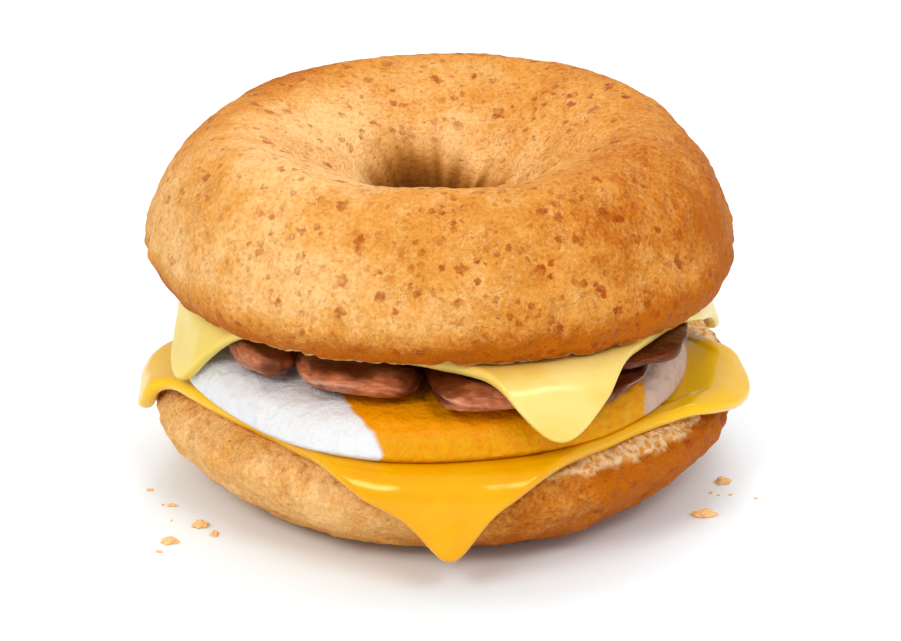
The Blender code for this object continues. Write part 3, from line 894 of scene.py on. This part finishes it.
def slice_shape(cheese, thickness, settings, seed):
    """A soft slice, made as a flat pattern with a rounded rim, then draped over what is under it."""
    level = [i / 8 for i in range(8)]
    hanging = [1 + i / 34 for i in range(35)]
    rim = [math.radians(a) for a in range(-75, 76, 15)]
    profile = [(s, -1) for s in level + hanging]
    profile += [(2 + RIM * math.cos(a), math.sin(a)) for a in rim]
    profile += [(s, 1) for s in reversed(level + hanging)]
    shape = turned(profile, settings.steps)
    half = thickness / 2
    underside = cheese.top - thickness

    def move(point, _normal):
        share = radius_of(point)
        azimuth = azimuth_of(point)
        reach = slice_reach(azimuth, cheese)
        fold = min(fold_at(azimuth, cheese)[0], 0.9 * reach)
        brink = reach - half
        if share <= 1:
            distance = share * fold
        elif share <= 2:
            distance = fold + (share - 1) * (brink - fold)
        else:
            distance = brink + half * (share - 2) / RIM
        place, upwards = draped(distance, azimuth, cheese, underside)
        past = smoothstep(1.0, 1.5, share)
        near_rim = math.exp(-(((distance - brink) / (2.2 * thickness)) ** 2)) * past
        swell = 1 + settings.bead * near_rim
        for flap in cheese.flaps:
            tip = bump(azimuth, flap.azimuth, 0.8 * flap.drip_width)
            swell += 0.2 * tip * near_rim
        wave = noise.noise(place / (9 * MM) + seed) + 0.4 * noise.noise(place / (4 * MM) - seed)
        offset = half + half * point.z * swell + 0.3 * MM * wave * past
        return place + upwards * offset

    reshape(shape, move)
    return shape


def egg_shape(egg):
    """The whole egg as its ring shaped it: a low disc with a slanting side and a soft upper edge."""
    top = EGG_TOP - EGG_BASE
    crown = [(0, top), (34 * MM, top), (40 * MM, top - 0.3 * MM), (egg.radius - 5 * MM, top - 0.6 * MM)]
    side = [(egg.radius - 5 * MM, top - 0.6 * MM), (egg.radius - 3.4 * MM, top - 1.1 * MM)]
    side += [(egg.radius - 2 * MM, top - 2.1 * MM), (egg.radius - 0.7 * MM, top - 4.0 * MM)]
    side += [(egg.radius, 1.0 * MM), (egg.radius - 0.9 * MM, 0)]
    base = [(egg.radius - 0.9 * MM, 0), (0, 0)]
    profile = evenly(crown, 1.2 * MM) + evenly(side, 0.6 * MM) + evenly(base, 2.4 * MM) + [(0, 0)]
    shape = turned(profile, 360)

    def move(point, normal):
        lumps = noise.noise(point / (8 * MM))
        azimuth = azimuth_of(point)
        edge = 1 + 0.01 * noise.noise(heading(azimuth) * 2.0) - 0.05 * bump(azimuth, -58, 24)
        lift = smoothstep(2 * MM, top, point.z)
        place = Vector((point.x * edge, point.y * edge, point.z - 0.3 * MM * abs(lumps) * lift))
        small = noise.noise(point / (2.8 * MM)) + 0.5 * noise.noise(point / (1.3 * MM))
        outer = smoothstep(0.1 * MM, 1.5 * MM, point.z) * smoothstep(30 * MM, 40 * MM, radius_of(point))
        return place + normal * egg.lump * small * outer

    reshape(shape, move)
    return shape


def yolk_offset():
    """From the middle of the egg to the middle of the yolk."""
    return heading(math.radians(YOLK_AZIMUTH)) * YOLK_REACH


def cut_egg(shape, operation, radius):
    """The part of the egg outside or inside the yolk's outline."""
    whole = bpy.data.meshes.new("whole_egg")
    shape.to_mesh(whole)
    shape.free()
    outline = bmesh.new()
    bmesh.ops.create_cone(outline, cap_ends=True, segments=180, radius1=radius, radius2=radius, depth=40 * MM)
    bmesh.ops.translate(outline, verts=outline.verts, vec=yolk_offset())
    cylinder = bpy.data.meshes.new("yolk_outline")
    outline.to_mesh(cylinder)
    outline.free()
    egg, cutter = (bpy.data.objects.new(mesh.name, mesh) for mesh in (whole, cylinder))
    for obj in (egg, cutter):
        bpy.context.scene.collection.objects.link(obj)
    cut = egg.modifiers.new("Outline", "BOOLEAN")
    cut.operation = operation
    cut.object = cutter
    result = bmesh.new()
    graph = bpy.context.evaluated_depsgraph_get()
    result.from_object(egg, graph)
    bmesh.ops.triangulate(result, faces=[face for face in result.faces if len(face.verts) > 4])
    for obj in (egg, cutter):
        bpy.data.objects.remove(obj)
    return result


def rasher_cage(rasher):
    """A slab of few faces, its ends and sides drawn in, its top waved and all of it a little uneven."""
    shape = bmesh.new()
    bmesh.ops.create_cube(shape, size=1.0)
    along = [e for e in shape.edges if abs(e.verts[0].co.y - e.verts[1].co.y) > 0.5]
    bmesh.ops.subdivide_edges(shape, edges=along, cuts=5, use_grid_fill=True)
    across = [e for e in shape.edges if abs(e.verts[0].co.x - e.verts[1].co.x) > 0.5]
    bmesh.ops.subdivide_edges(shape, edges=across, cuts=2, use_grid_fill=True)
    for vertex in shape.verts:
        x, y, z = vertex.co
        end = abs(2 * y) ** 4
        side = abs(2 * x) ** 4
        wobble = 1 + 0.06 * noise.noise(Vector((6 * y, 3 * x, rasher.phase)))
        offset = x * (rasher.width + FULLNESS) * wobble * (1 - 0.14 * end)
        front = rasher.front - FULLNESS / 2 + rasher.slant * offset + 2 * MM * side
        level = 0.5 + z * (1 - 0.12 * end - 0.14 * side)
        if z > 0:
            level += 0.13 * math.sin(7 * y + rasher.phase) * math.cos(2.2 * x + rasher.phase) * (1 - end)
        vertex.co = (
            rasher.x + offset,
            rasher.back + (front - rasher.back) * (0.5 - y),
            BACON_BASE + rasher.base + min(1.0, level) * rasher.thickness,
        )
        spot = Vector((3.1 * x, 2.7 * y, 1.9 * z + 2 * rasher.phase))
        sideways, lengthways = noise.noise(spot), noise.noise(spot + Vector((0, 0, 7.3)))
        vertex.co += Vector((sideways, lengthways, 0)) * 2.6 * MM
    return shape


def rasher_shape(rasher, bacon):
    """One rasher: its cage rounded off, then wrinkled and folded where its edge shows."""
    shape = subdivided(rasher_cage(rasher), RASHER_LEVELS)
    seed = Vector((rasher.phase, 2 * rasher.phase, 0))

    def move(point, normal):
        height = (point.z - BACON_BASE - rasher.base) / rasher.thickness
        across = (point.x - rasher.x) / rasher.width
        outward = smoothstep(0.15, 0.8, math.hypot(normal.x, normal.y))
        line = 0.36 + 0.1 * math.sin(7 * across + rasher.phase) + 0.08 * noise.noise(point / (6 * MM))
        crease = math.exp(-(((height - line) / 0.09) ** 2)) * outward
        stretched = Vector((point.x, 0.6 * point.y, 1.7 * point.z))
        folds = noise.noise(Vector((point.x, 0.5 * point.y, 0.9 * point.z)) / (6.5 * MM) - seed)
        wrinkles = noise.noise(stretched / (3.6 * MM) + seed) + 0.5 * ridges(stretched + seed * MM, 2.4 * MM)
        slanted = Vector((0.8 * point.x + 1.1 * point.z, 0.4 * point.y, 0.7 * point.z))
        valley = ridges(slanted + 3 * seed * MM, 6 * MM) ** 4
        wrinkles = 1.3 * folds + 0.5 * (wrinkles - 0.3) - 0.45 * valley
        place = point + normal * (bacon.wrinkle * wrinkles * outward - bacon.crease * crease)
        inner = 1.2 * noise.noise(point / (3.5 * MM)) * bacon.wrinkle * (1 - outward)
        place += normal * min(0.0, inner)
        # Painted shade in the front crease and the valleys, added to the grilled colour.
        grilled_and_shaded = rasher_grilled_and_shaded(point.x, height) + 0.3 * crease + 0.15 * valley
        fat = math.exp(-(((height - line - 0.16) / 0.035) ** 2)) * outward
        fat *= smoothstep(-0.1, 0.25, noise.noise(point / (11 * MM) + seed)) * 0.55
        return place, grilled_and_shaded, fat

    reshape(shape, move, "grilled_and_shaded", "fat")
    return shape


def rasher_grilled_and_shaded(x, height):
    """How dark the bacon is: grilled colour, with painted shade along its top under the crown; darker at its
    far right, partly grilled and partly painted shade; and darker at its far left and in the gap left of the
    middle.
    """
    right = smoothstep(14 * MM, 26 * MM, x)
    left = 1 - smoothstep(-32 * MM, -26 * MM, x)
    gap = math.exp(-(((x + 5 * MM) / (3.4 * MM)) ** 2))
    return 0.18 + 0.75 * smoothstep(0.55, 1.0, height) + 0.7 * right + 0.28 * left + 0.9 * gap


def subdivided(shape, levels):
    """The shape that Subdivision Surface makes of a cage."""
    cage = bpy.data.meshes.new("cage")
    shape.to_mesh(cage)
    shape.free()
    obj = bpy.data.objects.new("cage", cage)
    bpy.context.scene.collection.objects.link(obj)
    soften = obj.modifiers.new("Soften", "SUBSURF")
    soften.levels = soften.render_levels = levels
    result = bmesh.new()
    result.from_object(obj, bpy.context.evaluated_depsgraph_get())
    result.normal_update()
    bpy.data.objects.remove(obj)
    return result


class SANDWICH_OT_add_heel(Operator):
    """Add the lower half of the bagel"""

    bl_idname = "sandwich.add_heel"
    bl_label = "Lower Half"

    def execute(self, context):
        bagel = context.scene.sandwich_bagel
        shape = heel_shape(bagel)
        set_down("bagel_heel", shape, HEEL_PLACE, crust_material(bagel), "crust", "bagel_bottom")
        return {"FINISHED"}


class SANDWICH_OT_add_cheddar(Operator):
    """Add the lower cheese slice, its corners melting over the edge"""

    bl_idname = "sandwich.add_cheddar"
    bl_label = "Cheddar"

    def execute(self, context):
        cheese = context.scene.sandwich_cheese
        shape = slice_shape(CHEDDAR_SLICE, cheese.cheddar_thickness, cheese, Vector((1.5, 0.2, 4.1)))
        colours = (cheese.cheddar, cheese.cheddar_deep, cheese.cheddar_outer_lit)
        bleed = (2.8 * MM, 1.6 * MM, 0.2 * MM)
        material = cheese_material("Melted cheddar", *colours, 0.24, bleed, tint=(1, 0.75, 0.08))
        set_down("cheddar", shape, MIDDLE, material, "cheddar", "cheddar_slice")
        return {"FINISHED"}


class SANDWICH_OT_add_egg(Operator):
    """Add the round egg, its white and its yolk"""

    bl_idname = "sandwich.add_egg"
    bl_label = "Egg"

    def execute(self, context):
        egg = context.scene.sandwich_egg
        shape = cut_egg(egg_shape(egg), "DIFFERENCE", egg.yolk_radius)
        material = egg_material("Cooked egg white", egg)
        set_down("cooked_white", shape, EGG_PLACE, material, "egg_white", "egg_white", crease=EGG_CREASE)
        shape = cut_egg(egg_shape(egg), "INTERSECT", egg.yolk_radius)
        material = egg_material("Cooked yolk", egg)
        set_down("cooked_yolk", shape, EGG_PLACE, material, "egg_yolk", "egg_yolk", crease=EGG_CREASE)
        return {"FINISHED"}


class SANDWICH_OT_add_bacon(Operator):
    """Add the rashers of bacon"""

    bl_idname = "sandwich.add_bacon"
    bl_label = "Bacon"

    def execute(self, context):
        bacon = context.scene.sandwich_bacon
        material = bacon_material(bacon)
        for number, rasher in enumerate(RASHERS, start=1):
            shape = rasher_shape(rasher, bacon)
            name = f"rasher_{number}"
            set_down(name, shape, MIDDLE, material, "bacon", f"bacon_rasher_{number}")
        return {"FINISHED"}


class SANDWICH_OT_add_pale_cheese(Operator):
    """Add the upper cheese slice, its corners hanging past the bacon"""

    bl_idname = "sandwich.add_pale_cheese"
    bl_label = "Pale Cheese"

    def execute(self, context):
        cheese = context.scene.sandwich_cheese
        shape = slice_shape(PALE_SLICE, cheese.pale_thickness, cheese, Vector((6.3, 2.2, 0.7)))
        colours = (cheese.pale, cheese.pale_deep, cheese.pale_outer)
        bleed = (4 * MM, 2.8 * MM, 0.9 * MM)
        material = cheese_material("Pale cheese", *colours, 0.33, bleed, tint=(1, 0.9, 0.5))
        set_down("pale_cheese", shape, MIDDLE, material, "pale_cheese", "pale_cheese_slice")
        return {"FINISHED"}


class SANDWICH_OT_add_crown(Operator):
    """Add the upper half of the bagel"""

    bl_idname = "sandwich.add_crown"
    bl_label = "Upper Half"

    def execute(self, context):
        bagel = context.scene.sandwich_bagel
        shape = crown_shape(bagel)
        set_down("bagel_crown", shape, CROWN_PLACE, crust_material(bagel), "crust", "bagel_top")
        return {"FINISHED"}


def add_light(name, power, size, place):
    """A softbox of a width and height at a place, turned to the sandwich."""
    light = bpy.data.lights.new(name, "AREA")
    light.energy = power
    light.shape = "RECTANGLE"
    light.size, light.size_y = size
    obj = bpy.data.objects.new(name, light)
    bpy.context.scene.collection.objects.link(obj)
    obj.location = place
    obj.rotation_euler = (LIGHT_AIM - Vector(place)).to_track_quat("-Z", "Y").to_euler()


def add_camera(stage):
    camera = bpy.data.cameras.new("Camera")
    camera.lens = stage.lens
    camera.clip_start = 0.05
    obj = bpy.data.objects.new("Camera", camera)
    bpy.context.scene.collection.objects.link(obj)
    back = Vector((0, -math.cos(stage.elevation), math.sin(stage.elevation)))
    obj.location = CAMERA_AIM + back * stage.distance
    obj.rotation_euler = (-back).to_track_quat("-Z", "Y").to_euler()
    bpy.context.scene.camera = obj


def add_crumbs(material):
    """Loose crumbs on the table beside the sandwich."""
    shape = bmesh.new()
    for number, crumb in enumerate(CRUMBS):
        size = Vector((crumb.length, crumb.width, (crumb.length + crumb.width) / 4)) / 2
        made = bmesh.ops.create_icosphere(shape, subdivisions=3, radius=1.0)["verts"]
        for vertex in made:
            rag = 1 + 0.7 * noise.noise(vertex.co * 1.6 + Vector((number, 0, 0)))
            vertex.co = Vector((vertex.co.x * size.x, vertex.co.y * size.y, vertex.co.z * size.z)) * rag
            vertex.co += Vector((crumb.x, crumb.y, 0.8 * size.z))
    mesh = bpy.data.meshes.new("crumbs")
    shape.to_mesh(mesh)
    shape.free()
    mesh.materials.append(material)
    obj = bpy.data.objects.new("crumbs", mesh)
    bpy.context.scene.collection.objects.link(obj)


class SANDWICH_OT_add_stage(Operator):
    """Add a plain table with a few crumbs, soft lights and a camera"""

    bl_idname = "sandwich.add_stage"
    bl_label = "Table and Lights"

    def execute(self, context):
        stage = context.scene.sandwich_stage
        shape = bmesh.new()
        bmesh.ops.create_grid(shape, x_segments=1, y_segments=1, size=4.0)
        mesh = bpy.data.meshes.new("table")
        shape.to_mesh(mesh)
        shape.free()
        mesh.materials.append(plain_material("Pale table", stage.table, 0.6))
        table = bpy.data.objects.new("table", mesh)
        context.scene.collection.objects.link(table)
        add_crumbs(plain_material("Crumbs", context.scene.sandwich_bagel.pale, 0.7))

        add_light("Key", stage.key, (0.6, 0.35), (-0.6, -0.9, 0.9))
        add_light("Fill", stage.fill, (0.6, 0.3), (0.5, -0.75, 0.95))
        add_light("Top", stage.top, (0.8, 0.8), (0.1, 0.5, 1.0))
        world = bpy.data.worlds.new("Studio")
        world.use_nodes = True
        background = world.node_tree.nodes["Background"]
        background.inputs["Color"].default_value = (1, 1, 1, 1)
        background.inputs["Strength"].default_value = stage.sky
        context.scene.world = world
        context.scene.view_settings.view_transform = "Standard"
        add_camera(stage)
        return {"FINISHED"}


OPERATORS = (
    SANDWICH_OT_add_heel,
    SANDWICH_OT_add_cheddar,
    SANDWICH_OT_add_egg,
    SANDWICH_OT_add_bacon,
    SANDWICH_OT_add_pale_cheese,
    SANDWICH_OT_add_crown,
    SANDWICH_OT_add_stage,
)

SETTINGS = {
    "sandwich_bagel": BagelSettings,
    "sandwich_cheese": CheeseSettings,
    "sandwich_egg": EggSettings,
    "sandwich_bacon": BaconSettings,
    "sandwich_stage": StageSettings,
}


class SANDWICH_PT_layers(Panel):
    """The sandwich's layers and their settings"""

    bl_idname = "SANDWICH_PT_layers"
    bl_label = "Breakfast Sandwich"
    bl_space_type = "VIEW_3D"
    bl_region_type = "UI"
    bl_category = "Sandwich"

    def draw(self, context):
        for operator in OPERATORS:
            self.layout.operator(operator.bl_idname)
        for name, settings in SETTINGS.items():
            box = self.layout.box()
            box.label(text=settings.__doc__)
            for key in settings.__annotations__:
                box.prop(getattr(context.scene, name), key)


def register():
    for cls in (*SETTINGS.values(), *OPERATORS, SANDWICH_PT_layers):
        bpy.utils.register_class(cls)
    for name, settings in SETTINGS.items():
        setattr(bpy.types.Scene, name, PointerProperty(type=settings))


def unregister():
    for name in SETTINGS:
        delattr(bpy.types.Scene, name)
    for cls in reversed((*SETTINGS.values(), *OPERATORS, SANDWICH_PT_layers)):
        bpy.utils.unregister_class(cls)


def main():
    register()
    bpy.ops.sandwich.add_heel()
    bpy.ops.sandwich.add_cheddar()
    bpy.ops.sandwich.add_egg()
    bpy.ops.sandwich.add_bacon()
    bpy.ops.sandwich.add_pale_cheese()
    bpy.ops.sandwich.add_crown()
    bpy.ops.sandwich.add_stage()


if __name__ == "__main__":
    main()
